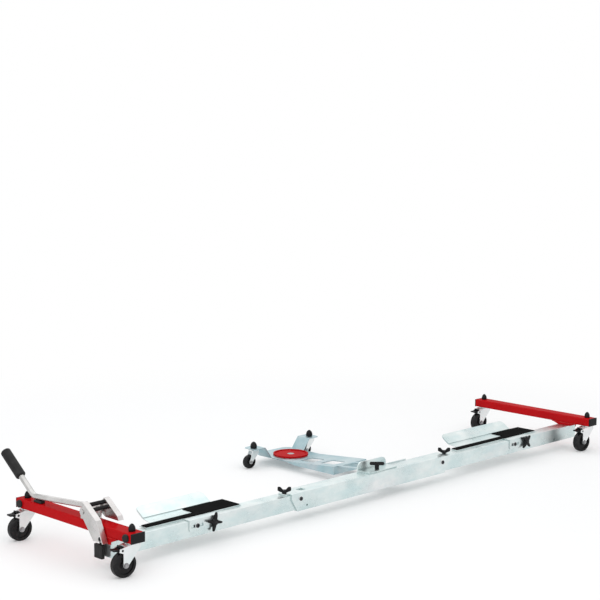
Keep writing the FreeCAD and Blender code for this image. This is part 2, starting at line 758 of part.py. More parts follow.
def make_stems(label, kind, spots, mount_sheet):
    """Swivel heads with their stems, each riveted over below the fork's plate."""
    height = sized(kind, "caster_height")
    stem = f"{sized(kind, 'stem_diameter')} / 2"
    body = new_body(label)
    head = [(x, y, f"{sized(kind, 'raceway_diameter')} / 2") for x, y in spots]
    pad(body, "XY", head, "raceway_thickness", f"{height} - raceway_thickness / 2")
    low = f"{height} - raceway_thickness - fork_sheet - 2 * slide_clearance"
    top = f"{height} + {mount_sheet} + stem_reach"
    pad(body, "XY", [(x, y, stem) for x, y in spots], f"{top} - ({low})", f"({top} + {low}) / 2")
    rivet = [(x, y, f"{stem} + fork_sheet") for x, y in spots]
    pad(body, "XY", rivet, "fork_sheet", f"{low} - fork_sheet / 2")


def make_fork(name, kind, x, y, braked):
    """Bent sheet fork with two tapered legs, ears for a brake pedal where it has one, and its axle pin."""
    top = f"{sized(kind, 'caster_height')} - raceway_thickness - slide_clearance"
    axle_z = f"{sized(kind, 'wheel_diameter')} / 2"
    axle_x = sized(kind, "trail")
    tip = f"{sized(kind, 'fork_tip')} / 2"
    plate = f"{sized(kind, 'fork_plate')} / 2"
    inside = f"{sized(kind, 'wheel_width')} + 2 * fork_gap"
    outside = f"{inside} + 2 * fork_sheet"
    fork = new_body(f"{name}_fork_sheet", x, y, "0", "caster_turn", node=False)
    shoulder = [(plate, top), (plate, f"{top} - 2 * fork_sheet")]
    if braked:
        ear = "pedal_pivot + pedal_ear"
        shoulder = [(plate, top), (ear, "pedal_height + pedal_ear / 2"),
                    (ear, "pedal_height - pedal_ear / 2"), (f"{axle_x} + {tip}", "pedal_height - pedal_ear")]
    leg = [(f"-({plate})", top)] + shoulder + [
        (f"{axle_x} + {tip}", axle_z), (f"{axle_x} - {tip}", axle_z),
        (f"-({plate})", f"{top} - 3 * fork_sheet")]
    pad(fork, "XZ", [leg], outside)
    pad(fork, "XZ", [(axle_x, axle_z, tip)], outside)
    under = f"{top} - fork_sheet"
    clear = box(f"-2 * {plate} - {axle_x}", f"2 * {plate} + 2 * {axle_x}", "0", under)
    pocket(fork, "XZ", [clear], inside)
    pocket(fork, "XY", [("0", "0", f"{sized(kind, 'stem_diameter')} / 2 + running_clearance")],
           "4 * fork_sheet", top)
    axle_radius = f"{sized(kind, 'axle_diameter')} / 2"
    holes = [(axle_x, axle_z, axle_radius)]
    if braked:
        holes.append(("pedal_pivot", "pedal_height", "pedal_pin / 2 + running_clearance"))
    pocket(fork, "XZ", holes, f"2 * ({outside})")
    axle = new_body(f"{name}_axle", x, y, "0", "caster_turn", node=False)
    pad(axle, "XZ", [(axle_x, axle_z, axle_radius)], f"{outside} + 2 * fork_gap")
    group(f"{name}_fork", [fork, axle])


def make_wheel(name, kind, x, y):
    """Wheel turned about its axle: hub, dished web and a tread with rounded shoulders."""
    trail = sized(kind, "trail")
    body = new_body(f"{name}_wheel", f"{x} + {trail} * cos(caster_turn * 1deg)",
                    f"{y} + {trail} * sin(caster_turn * 1deg)", f"{sized(kind, 'wheel_diameter')} / 2",
                    "caster_turn")
    bore = f"{sized(kind, 'axle_diameter')} / 2 + running_clearance"
    half = f"{sized(kind, 'wheel_width')} / 2"
    hub = f"{sized(kind, 'hub_diameter')} / 2"
    rim = f"{sized(kind, 'rim_diameter')} / 2"
    tread = f"{sized(kind, 'wheel_diameter')} / 2"
    section = [(bore, f"-({half})"), (hub, f"-({half})"), (hub, f"hub_recess - {half}"),
               (rim, f"hub_recess - {half}"), (rim, f"-({half})"), (tread, f"-({half})"),
               (tread, half), (rim, half), (rim, f"{half} - hub_recess"),
               (hub, f"{half} - hub_recess"), (hub, half), (bore, half)]
    revolve(body, "XY", section)
    round_edges(body, "tread_corner", lambda edge: is_circle(edge, value(tread)))


def make_pedal(name, x, y):
    """Foot brake on a cross pin through the fork's ears: a long tab, a short release tab and a shoe."""
    body = new_body(f"{name}_pedal", f"{x} + pedal_pivot * cos(caster_turn * 1deg)",
                    f"{y} + pedal_pivot * sin(caster_turn * 1deg)", "pedal_height", "caster_turn")
    pad(body, "XZ", [("0", "0", "pedal_pin / 2")], "wheel_width + 2 * fork_gap + 2 * fork_sheet")
    side = [("-tab_back", "pedal_sheet / 4"), ("-tab_back", "5 * pedal_sheet / 4"), ("tab_reach", "tab_rise"),
            ("tab_reach + pedal_sheet / 2", "tab_rise - pedal_sheet"),
            ("-pedal_pin / 2", "9 * pedal_sheet / 8"),
            ("pedal_pin", "pedal_sheet"), ("pedal_reach", "pedal_rise"),
            ("pedal_reach", "pedal_rise - pedal_sheet"), ("shoe_reach", "-pedal_sheet / 2"),
            ("shoe_reach", "-shoe_drop"), ("0", "-shoe_drop"),
            ("-pedal_pin", "-pedal_sheet / 2")]
    pad(body, "XZ", [side], "pedal_width")


# Parking lever


def make_bracket():
    """Upright ears on the rear beam that carry the lever's cross bar."""
    body = new_body("lever_bracket", "0", "pivot_inset", "beam_top")
    half = "bracket_width / 2"
    top = "pivot_rise + ear_radius"
    channel = [(f"-{half}", "0"), (half, "0"), (half, top), (f"{half} - bracket_sheet", top),
               (f"{half} - bracket_sheet", "bracket_sheet"), (f"bracket_sheet - {half}", "bracket_sheet"),
               (f"bracket_sheet - {half}", top), (f"-{half}", top)]
    pad(body, "XZ", [channel], "bracket_length")
    height = value(top)
    round_edges(body, "ear_radius", lambda edge: runs_along(edge, Vector(1, 0, 0))
                and near(edge.CenterOfMass.z, height))
    pocket(body, "YZ", [("0", "pivot_rise", "pivot_bar / 2 + running_clearance")], "2 * bracket_width")


def under_lever(y):
    """Height of the lever's underside above the beam at a distance from the beam's right end."""
    along = f"({y} - pivot_inset) * tan(lever_tilt * 1deg)"
    return f"pivot_rise + (lever_lift - lever_radius) / cos(lever_tilt * 1deg) - {along}"


def make_rest_pad():
    """Rubber rest on the beam below the lever."""
    body = new_body("lever_rest_pad", "-lever_offset", "0", "beam_top")
    end = "(pad_start + pad_length)"
    shape = [("pad_start", "0"), (end, "0"), (end, f"{under_lever(end)} - rest_clearance"),
             ("pad_start", f"{under_lever('pad_start')} - rest_clearance")]
    pad(body, "YZ", [shape], "pad_width")


def make_lever_tube():
    """Bent hand lever welded to its cross bar."""
    body = new_body("lever_tube", "0", "pivot_inset", "pivot_z", "-lever_tilt", Vector(1, 0, 0))
    path = new_sketch(body, "YZ", "-lever_offset")
    bend = "lever_bend * 1deg"
    after_y = f"lever_bend_start + lever_bend_radius * sin({bend})"
    after_z = f"lever_lift + lever_bend_radius * (1 - cos({bend}))"
    route = [("0", "lever_lift"), ("lever_bend_start", "lever_lift"), (after_y, after_z),
             ("handle_end_y", "handle_end_z")]
    points = [Vector(value(across), value(up), 0) for across, up in route]
    half_turn = value("lever_bend") / 2
    centre = points[1] + Vector(0, value("lever_bend_radius"), 0)
    spoke = FreeCAD.Rotation(Vector(0, 0, 1), half_turn).multVec(points[1] - centre)
    path.addGeometry(Part.LineSegment(points[0], points[1]))
    path.addGeometry(Part.Arc(points[1], centre + spoke, points[2]))
    path.addGeometry(Part.LineSegment(points[2], points[3]))
    for index, end, (across, up) in ((0, 1, route[0]), (0, 2, route[1]), (2, 1, route[2]), (2, 2, route[3])):
        hold_point(path, index, end, across, up)
    path.addConstraint(Sketcher.Constraint("Coincident", 0, 2, 1, 1))
    path.addConstraint(Sketcher.Constraint("Coincident", 1, 2, 2, 1))
    hold_size(path, Sketcher.Constraint("Radius", 1, value("lever_bend_radius")), "lever_bend_radius")
    ring = new_profile(body, "XZ", [("-lever_offset", "lever_lift", "lever_radius")], "0")
    doc.recompute()
    pipe = body.newObject("PartDesign::AdditivePipe", "lever_tube_run")
    pipe.Profile = ring
    pipe.Spine = path
    doc.recompute()
    pad(body, "YZ", [("0", "0", "pivot_bar / 2")], "bar_length")


def make_grip():
    body = new_body("lever_grip", "-lever_offset", "grip_y", "grip_z",
                    "lever_bend - lever_tilt", Vector(1, 0, 0))
    pad(body, "XZ", [("0", "0", "grip_diameter / 2")], "grip_length", "grip_end - grip_length / 2")
    round_edges(body, "grip_end", lambda edge: is_circle(edge, value("grip_diameter / 2")))
    pocket(body, "XZ", [("0", "0", "lever_radius + fit_clearance")], "2 * grip_length - 2 * grip_end",
           "fit_clearance - grip_length + grip_end")


def make_plate(side, outward, front, front_drop, back, back_drop):
    """Bent side plate of the lever, hung on the cross bar, with a flange along its right edge."""
    body = new_body(f"lever_{side}_plate", f"({outward}) * plate_x", "pivot_inset", "pivot_z")
    edge = [("-plate_top_back", "plate_top"), ("-plate_elbow", "-plate_elbow_drop"),
            (f"-({back})", f"-{back_drop}")]
    plate = edge + [(f"-{front}", f"-{front_drop}"), ("ear_radius", "0"), ("0", "ear_radius"),
                    ("-plate_neck", "plate_neck_rise")]
    pad(body, "YZ", [plate], "plate_sheet")
    pad(body, "YZ", [("0", "0", "ear_radius")], "plate_sheet")
    fold = [(f"plate_fold + {across}", up) for across, up in reversed(edge)]
    pad(body, "YZ", [edge + fold], "plate_flange + plate_sheet", f"({outward}) * plate_flange / 2")
    pocket(body, "YZ", [("0", "0", "pivot_bar / 2 + fit_clearance")], "4 * plate_sheet")
    return body


def make_plates():
    """Long near plate with a hole for the foot's bolt, and a short far plate that clears the spine."""
    near_plate = make_plate("near", "-1", "plate_front", "plate_front_drop", "plate_back", "plate_back_drop")
    pocket(near_plate, "YZ", [("-foot_bolt_back", "-foot_bolt_drop", "bolt_hole")], "4 * plate_sheet")
    make_plate("far", "1", "far_plate_front", "far_plate_drop", "far_plate_back", "far_plate_drop")


def make_spacer():
    """Two cross rods between the tops of the lever's plates."""
    body = new_body("lever_spacer", "0", "pivot_inset", "pivot_z")
    rods = []
    for count in range(2):
        step = f"{count} * spacer_step"
        rods.append((f"-spacer_back - {step}", f"spacer_rise - {step}", "spacer_diameter / 2"))
    pad(body, "YZ", rods, "plate_gap")


def make_foot():
    """Rubber shoe below the near plate, held by a tongue behind it."""
    body = new_body("lever_foot", "-plate_gap / 2", "foot_y", "foot_z")
    left = "foot_shift - foot_width / 2"
    block = box(left, f"{left} + foot_width", "-foot_bolt_rise - foot_height", "-foot_bolt_rise")
    pad(body, "YZ", [block], "foot_thickness", "foot_tongue_sheet - foot_thickness / 2")
    tongue = box("-foot_tongue_width / 2", "foot_tongue_width / 2",
                 "-foot_bolt_rise", "foot_tongue_height / 2")
    pad(body, "YZ", [tongue], "foot_tongue_sheet", "foot_tongue_sheet / 2")
    low = value("-foot_bolt_rise - foot_height")
    round_edges(body, "foot_tongue_sheet", lambda edge: runs_along(edge, Vector(1, 0, 0))
                and near(edge.CenterOfMass.z, low))
    pocket(body, "YZ", [("0", "0", "bolt_hole")], "4 * foot_tongue_sheet")


def make_foot_bolt():
    body = new_body("lever_foot_bolt", "-plate_gap / 2 - plate_sheet", "foot_y", "foot_z")
    pad(body, "YZ", [("0", "0", "bolt_head / 2")], "bolt_head_height", "-bolt_head_height / 2")
    round_edges(body, "bolt_head_height - 1", lambda edge: is_circle(edge, value("bolt_head / 2"))
                and near(edge.CenterOfMass.x, -value("bolt_head_height")))
    pad(body, "YZ", [("0", "0", "bolt_diameter / 2")], "plate_sheet + foot_tongue_sheet",
        "(plate_sheet + foot_tongue_sheet) / 2")


# Side stand platform


def make_saddle():
    """Sheet carriage that hooks round the sleeve from its left side."""
    body = new_body("platform_saddle")
    inner = "sleeve_left + slide_clearance"
    low = "sleeve_bottom - slide_clearance"
    hook = [("saddle_left - saddle_hook", f"{low} - saddle_sheet"), ("saddle_left", f"{low} - saddle_sheet"),
            ("saddle_left", "saddle_top"), ("saddle_left - saddle_reach", "saddle_top"),
            ("saddle_left - saddle_reach", "saddle_bottom"), (inner, "saddle_bottom"),
            (inner, low), ("saddle_left - saddle_hook", low)]
    pad(body, "YZ", [hook], "saddle_front - saddle_rear", "(saddle_rear + saddle_front) / 2")
    top_end = "saddle_rear + saddle_top_length"
    trim = box(top_end, "saddle_front + saddle_margin", "0", inner)
    pocket(body, "XY", [trim], "2 * saddle_sheet", "saddle_top")
    upright = box("saddle_rear", top_end, "saddle_top - saddle_sheet", "saddle_top + saddle_upright")
    pad(body, "XZ", [upright], "saddle_sheet", "saddle_left - saddle_sheet / 2")
    height = value("saddle_top + saddle_upright")
    round_edges(body, "saddle_corner", lambda edge: runs_along(edge, Vector(0, 1, 0))
                and near(edge.CenterOfMass.z, height))
    screw = ("clamp_screw_x", "spine_inset", "clamp_screw_diameter / 2 + running_clearance")
    pocket(body, "XY", [screw], "2 * saddle_sheet", "saddle_top")
    bolts = [(x, "arm_flange_z", "bolt_hole") for x in PLATFORM_BOLTS]
    pocket(body, "XZ", bolts, "4 * saddle_sheet", "saddle_left")


def arm_line(y):
    """Height of the sloping arm's top face."""
    return f"arm_top - (arm_top - pan_floor) * ({y} - saddle_left) / (arm_foot - saddle_left)"


def make_pan():
    """Folded sheet platform: sloping slotted arm with skirts, flat pan and two raised wings."""
    body = new_body("platform_pan")
    sheet_top = "platform_sheet"
    profile = [("saddle_left", "arm_top - arm_flange"), ("saddle_left", "arm_top"), ("arm_foot", "pan_floor"),
               ("pan_left", "pan_floor"), ("pan_left", f"pan_floor - {sheet_top}"),
               ("arm_foot", f"pan_floor - {sheet_top}"),
               (f"saddle_left + {sheet_top}", f"{arm_line('saddle_left + platform_sheet')} - {sheet_top}"),
               (f"saddle_left + {sheet_top}", "arm_top - arm_flange")]
    pad(body, "YZ", [profile], "pan_width", "platform_x")
    shoulder = arm_line("arm_shoulder")
    skirt = [("arm_shoulder", "skirt_bottom"), ("arm_shoulder", shoulder), ("arm_foot", "pan_floor"),
             ("arm_foot", f"pan_floor - {sheet_top}"), ("skirt_end", "skirt_bottom")]
    pad(body, "YZ", [skirt], "pan_width", "platform_x")
    back = "arm_shoulder + platform_sheet"
    hollow = [(back, "0"), (back, f"{arm_line(back)} - {sheet_top}"),
              ("arm_foot", f"pan_floor - {sheet_top}"), ("arm_foot", "0")]
    pocket(body, "YZ", [hollow], "pan_width - 2 * platform_sheet", "platform_x")
    low_x = "platform_x - pan_width / 2"
    high_x = "platform_x + pan_width / 2"
    waist = [box(f"{low_x} - platform_sheet", "arm_x - arm_width / 2", "0", "arm_shoulder"),
             box("arm_x + arm_width / 2", f"{high_x} + platform_sheet", "0", "arm_shoulder")]
    pocket(body, "XY", waist, "4 * arm_top")
    corner_y = value("pan_left")
    round_edges(body, "pan_corner", lambda edge: runs_along(edge, Vector(0, 0, 1))
                and near(edge.CenterOfMass.y, corner_y))
    cut_slots(body)
    for outward in ("1", "-1"):
        add_wing(body, outward)
    stems = [(x, "platform_caster_y", "small_stem_diameter / 2 + fit_clearance") for x in PLATFORM_STEMS]
    pin = ("platform_x", "disc_y", "disc_pin / 2 + fit_clearance")
    pocket(body, "XY", stems + [pin], "4 * wing_top")
    bolts = [(x, "arm_flange_z", "bolt_hole") for x in PLATFORM_BOLTS]
    pocket(body, "XZ", bolts, "4 * platform_sheet", "saddle_left")


def cut_slots(body):
    """Cut the row of round-cornered windows along the arm."""
    left = "arm_x - slot_width / 2"
    right = "arm_x + slot_width / 2"
    slots = []
    for index in range(3):
        middle = f"arm_foot - slot_inset - {index} * slot_pitch"
        slots.append(box(left, right, f"{middle} - slot_length / 2", f"{middle} + slot_length / 2"))
    pocket(body, "XY", slots, "4 * arm_top")
    middle_x = value("arm_x")
    half = value("slot_width / 2")
    round_edges(body, "slot_corner", lambda edge: runs_along(edge, Vector(0, 0, 1))
                and near(abs(edge.CenterOfMass.x - middle_x), half))


def add_wing(body, outward):
    """Fold one side of the pan up and out to its caster."""
    def at(distance):
        return f"platform_x + ({outward}) * ({distance})"
    half = "pan_width / 2"
    wing = [(at(f"{half} - 2 * platform_sheet"), "pan_floor - platform_sheet"),
            (at(f"{half} - 2 * platform_sheet"), "pan_floor"), (at(f"{half} - platform_sheet"), "pan_floor"),
            (at(f"{half} + wing_run - platform_sheet"), "wing_top"),
            (at(f"{half} + wing_run + wing_flat"), "wing_top"),
            (at(f"{half} + wing_run + wing_flat"), "small_caster_height"),
            (at(f"{half} + wing_run"), "small_caster_height"), (at(half), "pan_floor - platform_sheet")]
    pad(body, "XZ", [wing], "wing_width", "platform_caster_y")
    edge_x = value(at(f"{half} + wing_run + wing_flat"))
    round_edges(body, "platform_sheet * 4", lambda edge: runs_along(edge, Vector(0, 0, 1))
                and near(edge.CenterOfMass.x, edge_x))


def make_disc():
    """Turntable with a raised rim and a countersunk middle."""
    body = new_body("platform_disc", "platform_x", "disc_y", "disc_bottom")
    bore = "disc_pin / 2 + running_clearance"
    seat = "disc_pin_head / 2 + slide_clearance"
    rim = "disc_diameter / 2"
    section = [(bore, "0"), (rim, "0"), (rim, "disc_base + disc_rim"),
               (f"{rim} - disc_rim_width", "disc_base + disc_rim"), (f"{rim} - disc_rim_width", "disc_base"),
               (seat, "disc_base"), (bore, "disc_base / 2")]
    revolve(body, "XZ", section)


def make_disc_pin():
    """Pivot pin of the turntable, flush with its floor."""
    body = new_body("platform_disc_pin", "platform_x", "disc_y", "disc_bottom")
    shank = "disc_pin / 2"
    low = "-disc_gap - platform_sheet"
    section = [("0", low), (shank, low), (shank, "disc_base / 2 + disc_gap"),
               ("disc_pin_head / 2", "disc_base"), ("0", "disc_base")]
    revolve(body, "XZ", section)


STEMS = ("stem_inset", "beam_length - stem_inset")
TONGUES = ("sleeve_start - tongue_screw_inset", "sleeve_end + tongue_screw_inset")
SLEEVE_BOLTS = ("sleeve_start + sleeve_bolt_inset", "sleeve_end - sleeve_bolt_inset")
PLATFORM_STEMS = ("platform_x - platform_caster_x", "platform_x + platform_caster_x")
PLATFORM_BOLTS = ("arm_x - platform_bolt_pitch / 2", "arm_x + platform_bolt_pitch / 2")
BEAM_ENDS = (("rear", "0", "-1"), ("front", "beam_spacing", "1"))
SPINE_ENDS = (
    ("rear", "-(tube_overhang)", "sleeve_start + tube_insertion", "rear_knob", "rear_tray_start",
     "rear_tray_length"),
    ("front", "sleeve_end - tube_insertion", "beam_spacing + tube_overhang", "front_knob", "front_tray_start",
     "front_tray_length"),
)

for end, x, outward in BEAM_ENDS:
    make_beam(end, x)
    make_end_caps(end, x)
    make_gusset(end, x, outward)
    make_stem_caps(f"{end}_stem_caps", "", (x,), STEMS, "beam_top")
    make_stems(f"{end}_caster_heads", "", [(x, y) for y in STEMS], "beam_height")
    for side, y in zip(("right", "left"), STEMS):
        name = f"{end}_{side}"
        make_fork(name, "", x, y, True)
        make_wheel(name, "", x, y)
        make_pedal(name, x, y)
make_bumpers()

make_sleeve()
make_bolts("sleeve_bolts", [(x, "sleeve_bolt_z") for x in SLEEVE_BOLTS], "sleeve_near", "sleeve_wall")
for (end, start, finish, knob, tray_start, tray_length), tongue in zip(SPINE_ENDS, TONGUES):
    make_spine_tube(end, start, finish, knob)
    make_wing_screw(end, tongue)
    make_tray(end, tray_start, tray_length, knob)
    make_mat(end, tray_start, tray_length)
    make_guide_bolt(end, knob)
    make_star_knob(end, knob)

make_bracket()
make_rest_pad()
make_lever_tube()
make_grip()
make_plates()
make_spacer()
make_foot()
make_foot_bolt()

make_saddle()
make_clamp_screw()
make_pan()
make_bolts("platform_bolts", [(x, "arm_flange_z") for x in PLATFORM_BOLTS], "saddle_left + platform_sheet",
           "platform_sheet + saddle_sheet", outward="1")
make_disc()
make_disc_pin()
make_stem_caps("platform_stem_caps", "small_", PLATFORM_STEMS, ("platform_caster_y",), "wing_top")
make_stems("platform_caster_heads", "small_", [(x, "platform_caster_y") for x in PLATFORM_STEMS],
           "platform_sheet")
for side, x in zip(("rear", "front"), PLATFORM_STEMS):
    make_fork(f"platform_{side}", "small_", x, "platform_caster_y", False)
    make_wheel(f"platform_{side}", "small_", x, "platform_caster_y")

doc.recompute()
for item in doc.Objects:
    if "Invalid" in item.State or "Error" in item.State:
        raise RuntimeError(f"{item.Label} did not rebuild")
for node in NODES:
    if node.Shape.isNull() or not node.Shape.isValid():
        raise RuntimeError(f"{node.Label} has no sound shape")

os.makedirs("parts", exist_ok=True)
for node in NODES:
    node.Shape.exportStep(os.path.join("parts", f"{node.Label}.step"))
print(f"{len(NODES)} pieces")
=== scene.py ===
import json
import math

import bpy
from mathutils import Matrix, Vector

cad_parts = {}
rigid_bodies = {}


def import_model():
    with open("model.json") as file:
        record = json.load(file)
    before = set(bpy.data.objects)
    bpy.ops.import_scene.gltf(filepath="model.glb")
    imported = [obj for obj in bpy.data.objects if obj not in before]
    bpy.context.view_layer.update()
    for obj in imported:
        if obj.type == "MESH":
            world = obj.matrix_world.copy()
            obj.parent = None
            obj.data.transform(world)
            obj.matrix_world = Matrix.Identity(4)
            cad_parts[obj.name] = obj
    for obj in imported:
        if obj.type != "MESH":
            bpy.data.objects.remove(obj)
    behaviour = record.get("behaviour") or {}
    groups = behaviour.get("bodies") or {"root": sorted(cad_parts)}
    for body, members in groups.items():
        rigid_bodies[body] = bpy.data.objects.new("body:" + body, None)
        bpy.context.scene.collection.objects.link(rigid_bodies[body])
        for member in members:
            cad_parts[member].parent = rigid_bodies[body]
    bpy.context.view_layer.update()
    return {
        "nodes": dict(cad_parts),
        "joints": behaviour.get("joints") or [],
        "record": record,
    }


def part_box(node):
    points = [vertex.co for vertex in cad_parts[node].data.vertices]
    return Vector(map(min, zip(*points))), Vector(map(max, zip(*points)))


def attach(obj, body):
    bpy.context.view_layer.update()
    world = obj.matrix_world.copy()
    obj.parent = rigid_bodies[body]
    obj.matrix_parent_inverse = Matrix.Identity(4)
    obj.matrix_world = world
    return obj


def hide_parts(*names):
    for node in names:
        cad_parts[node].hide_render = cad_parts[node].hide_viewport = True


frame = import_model()

MM = 0.001
X_AXIS = Vector((1, 0, 0))
Y_AXIS = Vector((0, 1, 0))
Z_AXIS = Vector((0, 0, 1))


# Shader arithmetic


class Value:
    """A socket that takes part in Python arithmetic."""

    def __init__(self, finish, socket):
        self.finish = finish
        self.socket = socket

    def maths(self, operation, first, second):
        return self.finish.node("ShaderNodeMath", {"operation": operation}, {0: first, 1: second})

    def __add__(self, other):
        return self.maths("ADD", self, other)

    def __mul__(self, other):
        return self.maths("MULTIPLY", self, other)

    def __rsub__(self, other):
        return self.maths("SUBTRACT", other, self)

    __radd__ = __add__


class Finish:
    """One procedural material, read in the object's own coordinates. Lengths are in millimetres."""

    ROUNDING_SAMPLES = 4
    CORNER_SAMPLES = 6

    def __init__(self, name, edge=0.8):
        self.material = bpy.data.materials.new(name)
        self.material.use_nodes = True
        self.tree = self.material.node_tree
        self.shader = self.tree.nodes["Principled BSDF"]
        self.place = self.node("ShaderNodeTexCoord", {}, {}, "Object")
        rounding = {"samples": self.ROUNDING_SAMPLES}
        self.soft_edge = self.node("ShaderNodeBevel", rounding, {"Radius": edge * MM})

    def node(self, kind, settings, inputs, output=0):
        made = self.tree.nodes.new(kind)
        for name, setting in settings.items():
            if name == "stops":
                self.set_stops(made.color_ramp, setting)
            else:
                setattr(made, name, setting)
        for name, given in inputs.items():
            self.feed(made.inputs[name], given)
        return Value(self, made.outputs[output])

    def set_stops(self, ramp, stops):
        for element, (position, colour) in zip(ramp.elements, stops):
            element.position = position
            element.color = colour

    def feed(self, socket, given):
        if isinstance(given, Value):
            self.tree.links.new(given.socket, socket)
        else:
            socket.default_value = given

    def noise(self, scale, detail=3.0, roughness=0.5, stretch=(1, 1, 1)):
        spot = self.node("ShaderNodeMapping", {}, {"Vector": self.place, "Scale": stretch})
        inputs = {"Vector": spot, "Scale": scale, "Detail": detail, "Roughness": roughness}
        return self.node("ShaderNodeTexNoise", {}, inputs, "Fac")

    def ramp(self, factor, low, high):
        stops = ((low, grey(0)), (high, grey(1)))
        return self.node("ShaderNodeValToRGB", {"stops": stops}, {"Fac": factor})

    def mix(self, factor, first, second):
        return self.node("ShaderNodeMix", {"data_type": "RGBA"}, {0: factor, 6: first, 7: second}, 2)

    def openness(self, distance, inside):
        settings = {"samples": self.CORNER_SAMPLES, "only_local": True, "inside": inside}
        return self.node("ShaderNodeAmbientOcclusion", settings, {"Distance": distance * MM}, "AO")

    def corner_shade(self, distance):
        """How far a spot lies in one of the piece's own corners, from 0 to 1: where the finishes paint
        shade.
        """
        return self.ramp(1 - self.openness(distance, False), low=0.25, high=0.9)

    def edge(self, distance):
        """How near a spot lies to one of the piece's own outer edges, from 0 to 1."""
        return self.ramp(1 - self.openness(distance, True), low=0.2, high=0.7)

    def bump(self, height, strength, depth):
        inputs = {"Height": height, "Strength": strength, "Distance": depth * MM}
        return self.node("ShaderNodeBump", {}, {**inputs, "Normal": self.soft_edge})

    def set(self, **inputs):
        for name, given in inputs.items():
            self.feed(self.shader.inputs[name.replace("_", " ")], given)
        return self.material


def rgb(red, green, blue):
    return (red, green, blue, 1)


def grey(level):
    return rgb(level, level, level)


# Finishes


def red_powder_coat():
    paint = Finish("red_powder_coat", edge=1.2)
    tone = paint.noise(scale=7, detail=4, roughness=0.6)
    dust = paint.ramp(paint.noise(scale=160, detail=5, roughness=0.7), low=0.62, high=0.8)
    rub = paint.ramp(paint.noise(scale=60, detail=5, roughness=0.7), low=0.42, high=0.66)
    colour = paint.mix(tone, rgb(0.40, 0.003, 0.005), rgb(0.56, 0.008, 0.011))
    # Painted shade: the paint turns deep red-black in the piece's own corners.
    colour = paint.mix(paint.corner_shade(12) * 0.7, colour, rgb(0.10, 0.001, 0.002))
    colour = paint.mix(dust * 0.05, colour, rgb(0.70, 0.20, 0.19))
    colour = paint.mix(paint.edge(1.6) * rub * 0.5, colour, rgb(0.66, 0.10, 0.09))
    peel = paint.bump(paint.noise(scale=520, detail=2), strength=0.10, depth=0.8)
    return paint.set(Base_Color=colour, Roughness=0.4 + tone * 0.2 + dust * 0.1, Normal=peel,
                     Specular_IOR_Level=0.0, Coat_Weight=0.12, Coat_Roughness=0.12)


def zinc_plate(name, deep, bright, stain, polish, corner_shade_reach=16):
    """Bright zinc plating: cloudy tone, stains that drift over it and fine rolling lines, with a painted
    highlight on the outer edges and painted shade in the corners.
    """
    zinc = Finish(name)
    cloud = zinc.ramp(zinc.noise(scale=11, detail=5, roughness=0.62), low=0.3, high=0.7)
    drift = zinc.noise(scale=17, detail=4, roughness=0.6, stretch=(0.6, 1.6, 1.6))
    drift = zinc.ramp(drift, low=0.4, high=0.75)
    blush = zinc.ramp(zinc.noise(scale=8, stretch=(0.5, 1.4, 1.4)), low=0.52, high=0.8)
    grain = zinc.noise(scale=90, detail=4, roughness=0.6, stretch=(1, 12, 12))
    colour = zinc.mix(cloud, deep, bright)
    colour = zinc.mix(drift * 0.5, colour, stain)
    colour = zinc.mix(blush * 0.3, colour, rgb(0.74, 0.64, 0.67))
    # Painted highlight: near-white zinc along the piece's outer edges.
    colour = zinc.mix(zinc.edge(1.2) * 0.45, colour, rgb(0.93, 0.95, 0.95))
    # Painted shade: dark blue-grey in the piece's own corners and hollows.
    colour = zinc.mix(zinc.corner_shade(corner_shade_reach) * 0.85, colour, rgb(0.05, 0.09, 0.10))
    return zinc.set(Base_Color=colour, Metallic=0.95, Roughness=polish + cloud * 0.1 + grain * 0.1,
                    Normal=zinc.bump(grain, strength=0.05, depth=0.6))


def plain_steel(name, bright, dull):
    steel = Finish(name, edge=0.4)
    grain = steel.noise(scale=260, detail=4, roughness=0.6)
    stain = steel.ramp(steel.noise(scale=40, detail=4, roughness=0.6), low=0.35, high=0.75)
    colour = steel.mix(stain, bright, dull)
    # Painted shade: near-black in the piece's own corners and key sockets.
    colour = steel.mix(steel.corner_shade(5) * 0.8, colour, grey(0.02))
    return steel.set(Base_Color=colour, Metallic=1.0, Roughness=0.26 + grain * 0.2,
                     Normal=steel.bump(grain, strength=0.08, depth=0.4))


def black_plastic():
    plastic = Finish("black_plastic", edge=1.0)
    grain = plastic.noise(scale=900, detail=2)
    wear = plastic.ramp(plastic.noise(scale=70, detail=5, roughness=0.65), low=0.55, high=0.85)
    colour = plastic.mix(wear, rgb(0.010, 0.010, 0.011), rgb(0.024, 0.024, 0.026))
    colour = plastic.mix(plastic.edge(1.5) * 0.5, colour, rgb(0.040, 0.040, 0.042))
    return plastic.set(Base_Color=colour, Roughness=0.5 + wear * 0.14, Specular_IOR_Level=0.0,
                       Normal=plastic.bump(grain, strength=0.12, depth=0.4),
                       Coat_Weight=0.3, Coat_Roughness=0.16)


def black_rubber():
    rubber = Finish("black_rubber", edge=1.0)
    grain = rubber.noise(scale=700)
    bloom = rubber.ramp(rubber.noise(scale=32, detail=5, roughness=0.65), low=0.45, high=0.8)
    colour = rubber.mix(bloom, grey(0.016), rgb(0.034, 0.033, 0.033))
    return rubber.set(Base_Color=colour, Roughness=0.6 + bloom * 0.15, Specular_IOR_Level=0.0,
                      Normal=rubber.bump(grain, strength=0.15, depth=0.5),
                      Coat_Weight=0.35, Coat_Roughness=0.3)


def grip_mat():
    """Gritty anti-slip rubber."""
    mat = Finish("grip_mat", edge=0.6)
    grit = mat.node("ShaderNodeTexVoronoi", {}, {"Vector": mat.place, "Scale": 420.0}, "Distance")
    bloom = mat.ramp(mat.noise(scale=26, detail=5, roughness=0.65), low=0.45, high=0.8)
    colour = mat.mix(grit, grey(0.002), grey(0.012))
    colour = mat.mix(bloom * 0.5, colour, grey(0.016))
    return mat.set(Base_Color=colour, Roughness=0.7 + bloom * 0.15, Specular_IOR_Level=0.0,
                   Normal=mat.bump(1 - grit, strength=0.6, depth=0.9),
                   Coat_Weight=0.03, Coat_Roughness=0.35)


